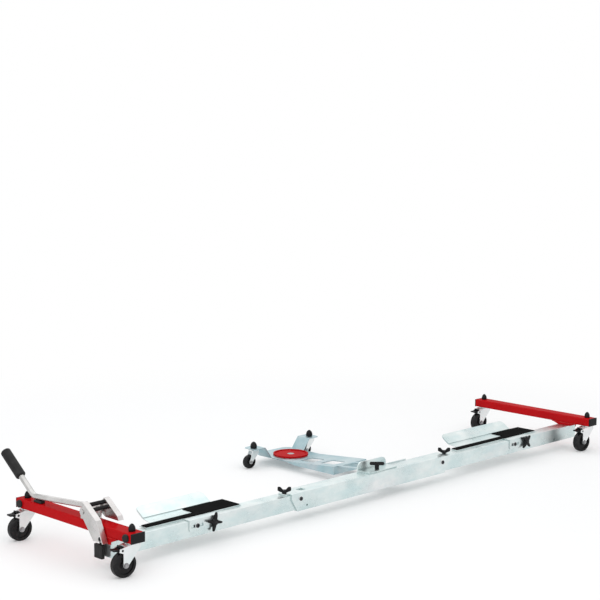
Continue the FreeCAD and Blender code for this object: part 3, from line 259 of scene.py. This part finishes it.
def wheel_rubber():
    rubber = Finish("wheel_rubber", edge=0.6)
    grain = rubber.noise(scale=500)
    scuff = rubber.ramp(rubber.noise(scale=95, detail=5, roughness=0.7), low=0.5, high=0.8)
    colour = rubber.mix(scuff, rgb(0.011, 0.011, 0.012), rgb(0.036, 0.034, 0.033))
    return rubber.set(Base_Color=colour, Roughness=0.5 + scuff * 0.2, Specular_IOR_Level=0.0,
                      Normal=rubber.bump(grain, strength=0.12, depth=0.5),
                      Coat_Weight=0.35, Coat_Roughness=0.2)


FINISHES = {
    "red_paint": red_powder_coat(),
    "bright_zinc": zinc_plate("bright_zinc", deep=rgb(0.58, 0.68, 0.68), bright=rgb(0.81, 0.86, 0.85),
                              stain=rgb(0.49, 0.67, 0.69), polish=0.20),
    "plain_steel": plain_steel("plain_steel", bright=rgb(0.42, 0.42, 0.43), dull=rgb(0.20, 0.20, 0.21)),
    "black_plastic": black_plastic(),
    "black_rubber": black_rubber(),
    "wheel_tread": wheel_rubber(),
}
GRIP_MAT = grip_mat()
WARM_ZINC = zinc_plate("warm_zinc", deep=rgb(0.45, 0.45, 0.44), bright=rgb(0.70, 0.69, 0.68),
                       stain=rgb(0.52, 0.51, 0.50), polish=0.18)
# Darker, bluer zinc: partly the plating's own blue tint, partly painted shade and a painted darker
# reflection; its painted corner shade reaches far, darkening the inner faces seen through the arm's
# windows.
SHADED_BLUE_ZINC = zinc_plate("shaded_blue_zinc", deep=rgb(0.24, 0.41, 0.46), bright=rgb(0.56, 0.64, 0.66),
                       stain=rgb(0.28, 0.50, 0.56), polish=0.26, corner_shade_reach=60)
PALE_ZINC = zinc_plate("pale_zinc", deep=rgb(0.72, 0.76, 0.76), bright=rgb(0.90, 0.91, 0.91),
                       stain=rgb(0.68, 0.76, 0.77), polish=0.22)
DARK_STEEL = plain_steel("dark_steel", bright=rgb(0.07, 0.07, 0.075), dull=rgb(0.03, 0.03, 0.032))


def coat(piece, finish):
    piece.data.materials.clear()
    piece.data.materials.append(finish)


SLOTS = {entry["node"]: entry["material_slot"] for entry in frame["record"]["subparts"]}
BODY_OF = {node: body for body, nodes in frame["record"]["behaviour"]["bodies"].items() for node in nodes}
for node, slot in SLOTS.items():
    coat(frame["nodes"][node], FINISHES[slot])
    if node.endswith(("_fork", "_caster_heads")):
        coat(frame["nodes"][node], PALE_ZINC)
for node in ("rear_tray_mat", "front_tray_mat"):
    coat(frame["nodes"][node], GRIP_MAT)
for node in ("lever_tube", "lever_near_plate", "lever_far_plate", "lever_bracket"):
    coat(frame["nodes"][node], WARM_ZINC)
# The pan wears the darker zinc with painted shade and painted reflection.
coat(frame["nodes"]["platform_pan"], SHADED_BLUE_ZINC)


# Modelling helpers: places and whole sizes in metres, steps of a shape in millimetres


FACING = 0.99
SAME_LEVEL = 1e-5
SHARP = math.radians(40)


def select_alone(piece):
    bpy.ops.object.select_all(action="DESELECT")
    piece.select_set(True)
    bpy.context.view_layer.objects.active = piece


def add_cylinder(spot, outward, radius, depth, sides=40):
    """Add a cylinder whose axis points outwards, and leave it alone selected."""
    bpy.ops.object.select_all(action="DESELECT")
    turn = Vector(outward).to_track_quat("Z", "Y").to_euler()
    bpy.ops.mesh.primitive_cylinder_add(vertices=sides, radius=radius, depth=depth,
                                        location=spot, rotation=turn)
    bpy.ops.object.transform_apply(location=True, rotation=True, scale=True)
    return bpy.context.object


def add_block(spot, turn, size):
    """Add a block and leave it alone selected."""
    bpy.ops.object.select_all(action="DESELECT")
    bpy.ops.mesh.primitive_cube_add(size=1, location=spot, rotation=turn)
    bpy.ops.transform.resize(value=size, orient_type="LOCAL")
    bpy.ops.object.transform_apply(location=True, rotation=True, scale=True)
    return bpy.context.object


def pick_end(piece, outward):
    """Enter edit mode with the faces picked that look outwards and lie furthest out."""
    bpy.ops.object.mode_set(mode="EDIT")
    bpy.ops.mesh.select_mode(type="FACE")
    bpy.ops.mesh.select_all(action="DESELECT")
    bpy.ops.object.mode_set(mode="OBJECT")
    far = max(face.center.dot(outward) for face in piece.data.polygons)
    for face in piece.data.polygons:
        face.select = face.normal.dot(outward) > FACING and face.center.dot(outward) > far - SAME_LEVEL
    bpy.ops.object.mode_set(mode="EDIT")


def draw_out(shift):
    bpy.ops.mesh.extrude_region_move(TRANSFORM_OT_translate={"value": shift})


def step_end(piece, outward, inwards, rise):
    """Draw a narrower end out of an end face."""
    pick_end(piece, outward)
    bpy.ops.mesh.inset(thickness=inwards * MM, depth=0)
    draw_out(outward * rise * MM)
    bpy.ops.object.mode_set(mode="OBJECT")


def taper_end(piece, outward, steps):
    """Round an end face by steps that narrow and rise at once."""
    pick_end(piece, outward)
    for inwards, rise in steps:
        bpy.ops.mesh.inset(thickness=inwards * MM, depth=rise * MM)
    bpy.ops.object.mode_set(mode="OBJECT")


def narrow_end(piece, outward, steps):
    """Draw an end face out by steps of rise and the share of its width that is kept."""
    pick_end(piece, outward)
    picked = [face for face in piece.data.polygons if face.select]
    middle = sum((face.center for face in picked), Vector()) / len(picked)
    for rise, share in steps:
        shift = outward * rise * MM
        middle = middle + shift
        if rise:
            draw_out(shift)
        bpy.ops.transform.resize(value=(share, share, share), center_override=middle)
    bpy.ops.object.mode_set(mode="OBJECT")


def use_modifier(piece, kind, **settings):
    select_alone(piece)
    modifier = piece.modifiers.new(kind.lower(), kind)
    for name, setting in settings.items():
        setattr(modifier, name, setting)
    bpy.ops.object.modifier_apply(modifier=modifier.name)


def round_edges(piece, width, segments, sharp=SHARP):
    use_modifier(piece, "BEVEL", width=width * MM, segments=segments,
                 limit_method="ANGLE", angle_limit=sharp)


def cut_socket(piece, spot, outward, radius, depth):
    """Sink a six-sided key socket into a head."""
    cutter = add_cylinder(spot, outward, radius * MM, 2 * depth * MM, sides=6)
    use_modifier(piece, "BOOLEAN", operation="DIFFERENCE", object=cutter, solver="EXACT")
    bpy.data.objects.remove(cutter)


def join(pieces):
    select_alone(pieces[0])
    for piece in pieces[1:]:
        piece.select_set(True)
    if len(pieces) > 1:
        bpy.ops.object.join()
    return pieces[0]


def mount(piece, name, body, slot, stands_for=None, crease=35, finish=None):
    """Name, smooth, coat and fasten a finished piece."""
    select_alone(piece)
    bpy.ops.object.shade_smooth_by_angle(angle=math.radians(crease))
    piece.name = name
    piece.data.name = name
    coat(piece, finish or FINISHES[slot])
    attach(piece, body)
    if stands_for:
        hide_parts(stands_for)


# Fasteners


BOLT_HEAD = 7.0
BOLT_HEAD_SIDE = 3.2
BOLT_HEAD_HEIGHT = 5.0
BOLT_CROWN = ((0.7, 0.9), (1.0, 0.6), (1.3, 0.3))
BOLT_SHANK = 4.0
SOCKET = 2.9
SOCKET_DEPTH = 2.4
WASHER = 9.0
WASHER_THICKNESS = 0.8
WASHER_EDGE = ((0.5, 0.3),)
LONE_BOLT_PLAY = 1.0


def make_bolt(face, outward, grip):
    """Button-head bolt with a key socket and a shank that goes inwards."""
    middle = face + outward * BOLT_HEAD_SIDE / 2 * MM
    bolt = add_cylinder(middle, outward, BOLT_HEAD * MM, BOLT_HEAD_SIDE * MM)
    taper_end(bolt, outward, BOLT_CROWN)
    step_end(bolt, -outward, BOLT_HEAD - BOLT_SHANK, grip)
    cut_socket(bolt, face + outward * BOLT_HEAD_HEIGHT * MM, outward, SOCKET, SOCKET_DEPTH)
    return bolt


def make_washer(face, outward):
    middle = face + outward * WASHER_THICKNESS / 2 * MM
    washer = add_cylinder(middle, outward, WASHER * MM, WASHER_THICKNESS * MM)
    taper_end(washer, outward, WASHER_EDGE)
    return washer


def fit_bolts(node, outward):
    """Put detailed bolts where a node's plain ones are: at the ends of a row, or in the middle."""
    low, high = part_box(node)
    half = (high - low) / 2
    reach = abs(half.dot(outward))
    face = (low + high) / 2 + outward * (reach - BOLT_HEAD_HEIGHT * MM)
    grip = 2 * reach / MM - BOLT_HEAD_HEIGHT
    row = half.x - BOLT_HEAD * MM
    if row > LONE_BOLT_PLAY * MM and not outward.x:
        spots = [face - X_AXIS * row, face + X_AXIS * row]
    else:
        spots = [face]
    bolts = [make_bolt(spot, outward, grip) for spot in spots]
    mount(join(bolts), f"{node}_socketed", BODY_OF[node], SLOTS[node], node, finish=DARK_STEEL)
    washers = [make_washer(spot, outward) for spot in spots]
    mount(join(washers), f"{node}_washers", BODY_OF[node], "bright_zinc", finish=PALE_ZINC)


for node in ("rear_guide_bolt", "front_guide_bolt", "sleeve_bolts"):
    fit_bolts(node, -Y_AXIS)
fit_bolts("platform_bolts", Y_AXIS)
fit_bolts("lever_foot_bolt", -X_AXIS)


# Casters


JOINTS = {joint["name"]: joint for joint in frame["joints"]}
CASTERS = [name.removesuffix("_wheel_roll") for name in JOINTS if name.endswith("_wheel_roll")]
SMALL_CASTER = 0.72
AXLE_END = 1.5
AXLE_WASHER = 8.2
AXLE_WASHER_THICKNESS = 1.0
AXLE_WASHER_EDGE = ((0.4, 0.2),)
AXLE_HEAD = 6.6
AXLE_HEAD_HEIGHT = 3.4
AXLE_HEAD_MIDDLE = 2.6
AXLE_HEAD_CROWN = ((0.9, 0.5), (0.5, -0.2))
CAP_FOOT = 0.92
CAP_FOOT_HEIGHT = 1.0
CAP_PROFILE = ((0.13, 1.08), (0.17, 0.99), (0.20, 0.90), (0.16, 0.83),
               (0.12, 0.75), (0.09, 0.62), (0.05, 0.45))
RACE = {"rear_end": 20, "front_end": 20, "platform": 15}
RACE_OVERHANG = 1.6
RACE_HEIGHT = 2.6
RACE_DROP = 1.9
PAN_SHEET = 3
RACE_TOP = {
    "rear_end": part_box("rear_beam")[0].z,
    "front_end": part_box("front_beam")[0].z,
    "platform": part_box("platform_pan")[1].z - PAN_SHEET * MM,
}


def fit_axle_heads(caster):
    """Six-sided heads with washers on both ends of a caster's axle."""
    joint = JOINTS[f"{caster}_wheel_roll"]
    centre = Vector(joint["pos_m"])
    across = Vector(joint["axis"]).normalized()
    fork = frame["nodes"][f"{caster}_fork"]
    reach = max((corner.co - centre).dot(across) for corner in fork.data.vertices)
    size = SMALL_CASTER if caster.startswith("platform") else 1.0
    crown = [(inwards * size, rise * size) for inwards, rise in AXLE_HEAD_CROWN]
    heads = []
    for outward in (across, -across):
        face = centre + outward * (reach - AXLE_END * MM)
        washer = add_cylinder(face + outward * AXLE_WASHER_THICKNESS / 2 * MM, outward,
                              AXLE_WASHER * size * MM, AXLE_WASHER_THICKNESS * MM)
        taper_end(washer, outward, AXLE_WASHER_EDGE)
        head = add_cylinder(face + outward * AXLE_HEAD_MIDDLE * size * MM, outward,
                            AXLE_HEAD * size * MM, AXLE_HEAD_HEIGHT * size * MM, sides=6)
        taper_end(head, outward, crown)
        heads += [washer, head]
    mount(join(heads), f"{caster}_axle_heads", f"{caster}_swivel", "plain_steel", crease=25)


def stem_places(body):
    """Where a body's caster stems stand, seen from above."""
    stems = [JOINTS[f"{caster}_swivel_turn"] for caster in CASTERS]
    return [joint["pos_m"][:2] for joint in stems if joint["parent"] == body]


def fit_caps(node, body):
    """Acorn-shaped plastic caps over the stems, which stand in a row along the beam or across the pan."""
    low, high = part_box(node)
    tall = (high.z - low.z) / MM
    beside_row = Y_AXIS if body == "platform" else X_AXIS
    radius = (high - low).dot(beside_row) / 2
    profile = [(rise * tall, share) for rise, share in CAP_PROFILE]
    caps = []
    for x, y in stem_places(body):
        foot = (x, y, low.z + CAP_FOOT_HEIGHT / 2 * MM)
        cap = add_cylinder(foot, Z_AXIS, CAP_FOOT * radius, CAP_FOOT_HEIGHT * MM, sides=48)
        narrow_end(cap, Z_AXIS, profile)
        caps.append(cap)
    mount(join(caps), f"{node}_acorn", body, "black_plastic", node, crease=60)


def fit_races(node, body):
    """Pressed ring round each swivel head."""
    rings = []
    for x, y in stem_places(body):
        middle = (x, y, RACE_TOP[body] - RACE_DROP * MM)
        ring = add_cylinder(middle, Z_AXIS, (RACE[body] + RACE_OVERHANG) * MM, RACE_HEIGHT * MM, sides=56)
        taper_end(ring, -Z_AXIS, [(1.0, 0.5)])
        taper_end(ring, Z_AXIS, [(0.8, 0.4)])
        rings.append(ring)
    mount(join(rings), f"{node}_rings", body, "bright_zinc", finish=PALE_ZINC)


for caster in CASTERS:
    fit_axle_heads(caster)
for place, body in (("rear", "rear_end"), ("front", "front_end"), ("platform", "platform")):
    fit_races(f"{place}_caster_heads", body)
    fit_caps(f"{place}_stem_caps", body)


# Spine


TUBE_WALL = 2
PLATE_THICKNESS = 3
PLATE_DEPTH = 3
PLATE_PRESSING = ((4, 0), (1.5, -0.8))


def close_tube(end, outward):
    """Pressed plate in the outer mouth of a spine tube."""
    low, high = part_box(f"{end}_spine_tube")
    mouth = (low + high) / 2
    mouth.x = low.x if outward.x < 0 else high.x
    wide = high.y - low.y - 2 * TUBE_WALL * MM
    plate = add_block(mouth - outward * PLATE_DEPTH * MM, (0, 0, 0), (PLATE_THICKNESS * MM, wide, wide))
    taper_end(plate, outward, PLATE_PRESSING)
    round_edges(plate, 0.5, segments=2)
    mount(plate, f"{end}_spine_plate", f"{end}_end", "bright_zinc", finish=PALE_ZINC)


close_tube("rear", -X_AXIS)
close_tube("front", X_AXIS)


# Weld beads


BEAD = 2.0
BEAD_PITCH = 1.7
BEAD_OFFSET = 1
BEAM_SEAM_INSET = 3
SPINE_SEAM_INSET = 5


def lay_bead(start, end):
    """Row of overlapping ripples between two points."""
    start, end = Vector(start), Vector(end)
    run = end - start
    count = int(run.length / (BEAD_PITCH * MM))
    bpy.ops.object.select_all(action="DESELECT")
    bpy.ops.mesh.primitive_uv_sphere_add(segments=10, ring_count=6, radius=BEAD * MM, location=start)
    bead = bpy.context.object
    bpy.ops.object.transform_apply(location=True, rotation=True, scale=True)
    use_modifier(bead, "ARRAY", count=count + 1, use_relative_offset=False, use_constant_offset=True,
                 constant_offset_displace=run / count)
    return bead


def weld_gusset(end, faces):
    """Beads where the red gusset meets its beam, on the faces named, and the spine."""
    low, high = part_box(f"{end}_gusset")
    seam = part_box(f"{end}_beam")[0].z
    tube_low, tube_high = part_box(f"{end}_spine_tube")
    face_x = {"rearward": low.x, "forward": high.x}
    right, left = low.y + BEAM_SEAM_INSET * MM, high.y - BEAM_SEAM_INSET * MM
    rear, front = low.x + SPINE_SEAM_INSET * MM, high.x - SPINE_SEAM_INSET * MM
    beads = [lay_bead((face_x[face], right, seam), (face_x[face], left, seam)) for face in faces]
    for y in (tube_low.y - BEAD_OFFSET * MM, tube_high.y + BEAD_OFFSET * MM):
        beads.append(lay_bead((rear, y, tube_high.z), (front, y, tube_high.z)))
    mount(join(beads), f"{end}_gusset_welds", f"{end}_end", "red_paint")


weld_gusset("rear", ("rearward", "forward"))
weld_gusset("front", ("rearward",))


# Moulded pieces


HUB = 9.5
HUB_HEIGHT = 11
HUB_SETBACK = 6.5
HUB_CROWN = ((1.2, 1.0), (2.0, 0.6), (2.5, -1.0))
KNOB_SCREW = 4.0
ARM_WIDTH = 9.6
ARM_THICKNESS = 10.5
ARM_ROOT = 16
ARM_PROFILE = ((0, 0.92), (9, 0.78), (4.5, 0.72))
ARM_ROUNDING = 1.3
WELD_DISTANCE = 0.02
FLAT = math.radians(1.5)
MOULD_SHARP = math.radians(38)


def make_star_knob(end, turn):
    """Four tapered arms on a domed hub, with the clamp screw behind it."""
    node = f"{end}_star_knob"
    low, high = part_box(node)
    middle = (low + high) / 2
    middle.y = low.y + HUB_SETBACK * MM
    hub = add_cylinder(middle, -Y_AXIS, HUB * MM, HUB_HEIGHT * MM)
    taper_end(hub, -Y_AXIS, HUB_CROWN)
    step_end(hub, Y_AXIS, HUB - KNOB_SCREW, (high.y - middle.y) / MM - HUB_HEIGHT / 2)
    pieces = [hub]
    for quarter in range(4):
        angle = math.radians(turn + 90 * quarter)
        outward = Vector((math.sin(angle), 0, math.cos(angle)))
        arm = add_block(middle + outward * ARM_ROOT / 2 * MM, (0, angle, 0),
                        (ARM_WIDTH * MM, ARM_THICKNESS * MM, ARM_ROOT * MM))
        narrow_end(arm, outward, ARM_PROFILE)
        round_edges(arm, ARM_ROUNDING, segments=3)
        pieces.append(arm)
    mount(join(pieces), f"{node}_moulded", BODY_OF[node], SLOTS[node], node, crease=50)


def soften(node, width):
    """Stand a copy with rounded edges in for a plain node."""
    mesh = frame["nodes"][node].data.copy()
    piece = bpy.data.objects.new(f"{node}_moulded", mesh)
    bpy.context.scene.collection.objects.link(piece)
    select_alone(piece)
    bpy.ops.object.mode_set(mode="EDIT")
    bpy.ops.mesh.select_all(action="SELECT")
    bpy.ops.mesh.remove_doubles(threshold=WELD_DISTANCE * MM)
    bpy.ops.mesh.dissolve_limited(angle_limit=FLAT)
    bpy.ops.object.mode_set(mode="OBJECT")
    round_edges(piece, width, segments=3, sharp=MOULD_SHARP)
    mount(piece, f"{node}_moulded", BODY_OF[node], SLOTS[node], node, crease=50)


make_star_knob("rear", 12)
make_star_knob("front", 45)
for end in ("rear", "front"):
    soften(f"{end}_wing_screw", 1.0)
    soften(f"{end}_gusset", 1.0)
    for side in ("right", "left"):
        soften(f"{end}_{side}_pedal", 0.8)
soften("platform_clamp_screw", 0.8)
soften("lever_rest_pad", 1.5)
soften("lever_foot", 0.8)


# Lever


ROD = 5
ROD_TUBE = 6.2
ROD_TUBE_PLAY = 1
ROD_TUBE_EDGE = ((0.8, 0.5),)


def sleeve_rods():
    """Black tubes over the two rods between the lever's plates."""
    low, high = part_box("lever_spacer")
    radius = ROD * MM
    middle_x = (low.x + high.x) / 2
    length = high.x - low.x - 2 * ROD_TUBE_PLAY * MM
    tubes = []
    for y, z in ((high.y - radius, high.z - radius), (low.y + radius, low.z + radius)):
        tube = add_cylinder((middle_x, y, z), X_AXIS, ROD_TUBE * MM, length)
        for outward in (X_AXIS, -X_AXIS):
            taper_end(tube, outward, ROD_TUBE_EDGE)
        tubes.append(tube)
    mount(join(tubes), "lever_spacer_tubes", "lever", "black_plastic")


sleeve_rods()


# Floor, light and camera, in metres and degrees


FLOOR_SIZE = 80
WHITE_START = 1.4
WHITE_END = 2.6
WHITE_NEAR = 0.2
WORLD_STRENGTH = 0.7
CAMERA_SPOT = (-3.68356, -3.547, 1.312)
CAMERA_YAW = 44.56
CAMERA_PITCH = -7.30
CAMERA_ROLL = 0.45
CAMERA_LENS = 88.8
CAMERA_SENSOR = 36
CAMERA_REACH = 200


def lay_floor():
    """Pale floor that keeps the shadows near the dolly and fades to white away from it."""
    bpy.ops.object.select_all(action="DESELECT")
    bpy.ops.mesh.primitive_plane_add(size=FLOOR_SIZE, location=(0, 0, 0))
    floor = bpy.context.object
    floor.name = "floor"
    pale = Finish("pale_floor")
    pale.set(Base_Color=grey(0.97), Roughness=0.7, Specular_IOR_Level=0.1)
    distance = pale.node("ShaderNodeVectorMath", {"operation": "LENGTH"}, {0: pale.place}, "Value")
    far = pale.node("ShaderNodeMapRange", {"interpolation_type": "SMOOTHSTEP"},
                    {"Value": distance, "From Min": WHITE_START, "From Max": WHITE_END,
                     "To Min": WHITE_NEAR, "To Max": 1.0})
    ray = pale.tree.nodes.new("ShaderNodeLightPath")
    seen = Value(pale, ray.outputs["Is Camera Ray"]) + Value(pale, ray.outputs["Is Glossy Ray"])
    seen = seen + Value(pale, ray.outputs["Is Transmission Ray"])
    lit = Value(pale, pale.shader.outputs[0])
    white = pale.node("ShaderNodeEmission", {}, {"Color": grey(1), "Strength": 1.0})
    blend = pale.node("ShaderNodeMixShader", {}, {0: seen * far, 1: lit, 2: white})
    pale.feed(pale.tree.nodes["Material Output"].inputs["Surface"], blend)
    coat(floor, pale.material)


def light_world():
    """White where it is seen or mirrored, and soft light elsewhere."""
    world = bpy.data.worlds.new("studio")
    bpy.context.scene.world = world
    world.use_nodes = True
    nodes = world.node_tree.nodes
    links = world.node_tree.links
    ray = nodes.new("ShaderNodeLightPath")
    white = nodes.new("ShaderNodeBackground")
    white.inputs["Color"].default_value = grey(1)
    white.inputs["Strength"].default_value = 1.0
    soft = nodes["Background"]
    soft.inputs["Color"].default_value = rgb(0.98, 0.99, 1)
    soft.inputs["Strength"].default_value = WORLD_STRENGTH
    seen = nodes.new("ShaderNodeMath")
    seen.operation = "MAXIMUM"
    links.new(ray.outputs["Is Camera Ray"], seen.inputs[0])
    links.new(ray.outputs["Is Glossy Ray"], seen.inputs[1])
    choose = nodes.new("ShaderNodeMixShader")
    links.new(seen.outputs[0], choose.inputs[0])
    links.new(soft.outputs[0], choose.inputs[1])
    links.new(white.outputs[0], choose.inputs[2])
    links.new(choose.outputs[0], nodes["World Output"].inputs["Surface"])


def hang_lamp(name, spot, target, size, power):
    data = bpy.data.lights.new(name, "AREA")
    data.shape = "RECTANGLE"
    data.size, data.size_y = size
    data.energy = power
    lamp = bpy.data.objects.new(name, data)
    bpy.context.scene.collection.objects.link(lamp)
    lamp.location = spot
    lamp.rotation_euler = (Vector(target) - Vector(spot)).to_track_quat("-Z", "Y").to_euler()


def place_camera():
    """Stand at the photograph's viewpoint: behind the right rear corner, above the dolly."""
    yaw, pitch, roll = map(math.radians, (CAMERA_YAW, CAMERA_PITCH, CAMERA_ROLL))
    ahead = Vector((math.cos(pitch) * math.cos(yaw), math.cos(pitch) * math.sin(yaw), math.sin(pitch)))
    level = Vector((math.sin(yaw), -math.cos(yaw), 0))
    upright = level.cross(ahead)
    right = math.cos(roll) * level + math.sin(roll) * upright
    up = math.cos(roll) * upright - math.sin(roll) * level
    data = bpy.data.cameras.new("camera")
    data.lens = CAMERA_LENS
    data.sensor_width = CAMERA_SENSOR
    data.clip_end = CAMERA_REACH
    camera = bpy.data.objects.new("camera", data)
    bpy.context.scene.collection.objects.link(camera)
    turn = Matrix((right, up, -ahead)).transposed()
    camera.matrix_world = Matrix.Translation(CAMERA_SPOT) @ turn.to_4x4()
    bpy.context.scene.camera = camera


lay_floor()
light_world()
hang_lamp("key", spot=(-0.5, -0.2, 4.4), target=(-0.2, 0, 0), size=(8.0, 8.0), power=96)
hang_lamp("fill", spot=(-3.2, -2.2, 2.4), target=(-0.4, 0, 0.1), size=(4.2, 3.2), power=30)
hang_lamp("rim", spot=(1.6, 3.4, 3.6), target=(0.2, 0, 0), size=(4.0, 2.8), power=20)
place_camera()
bpy.context.scene.view_settings.view_transform = "Standard"
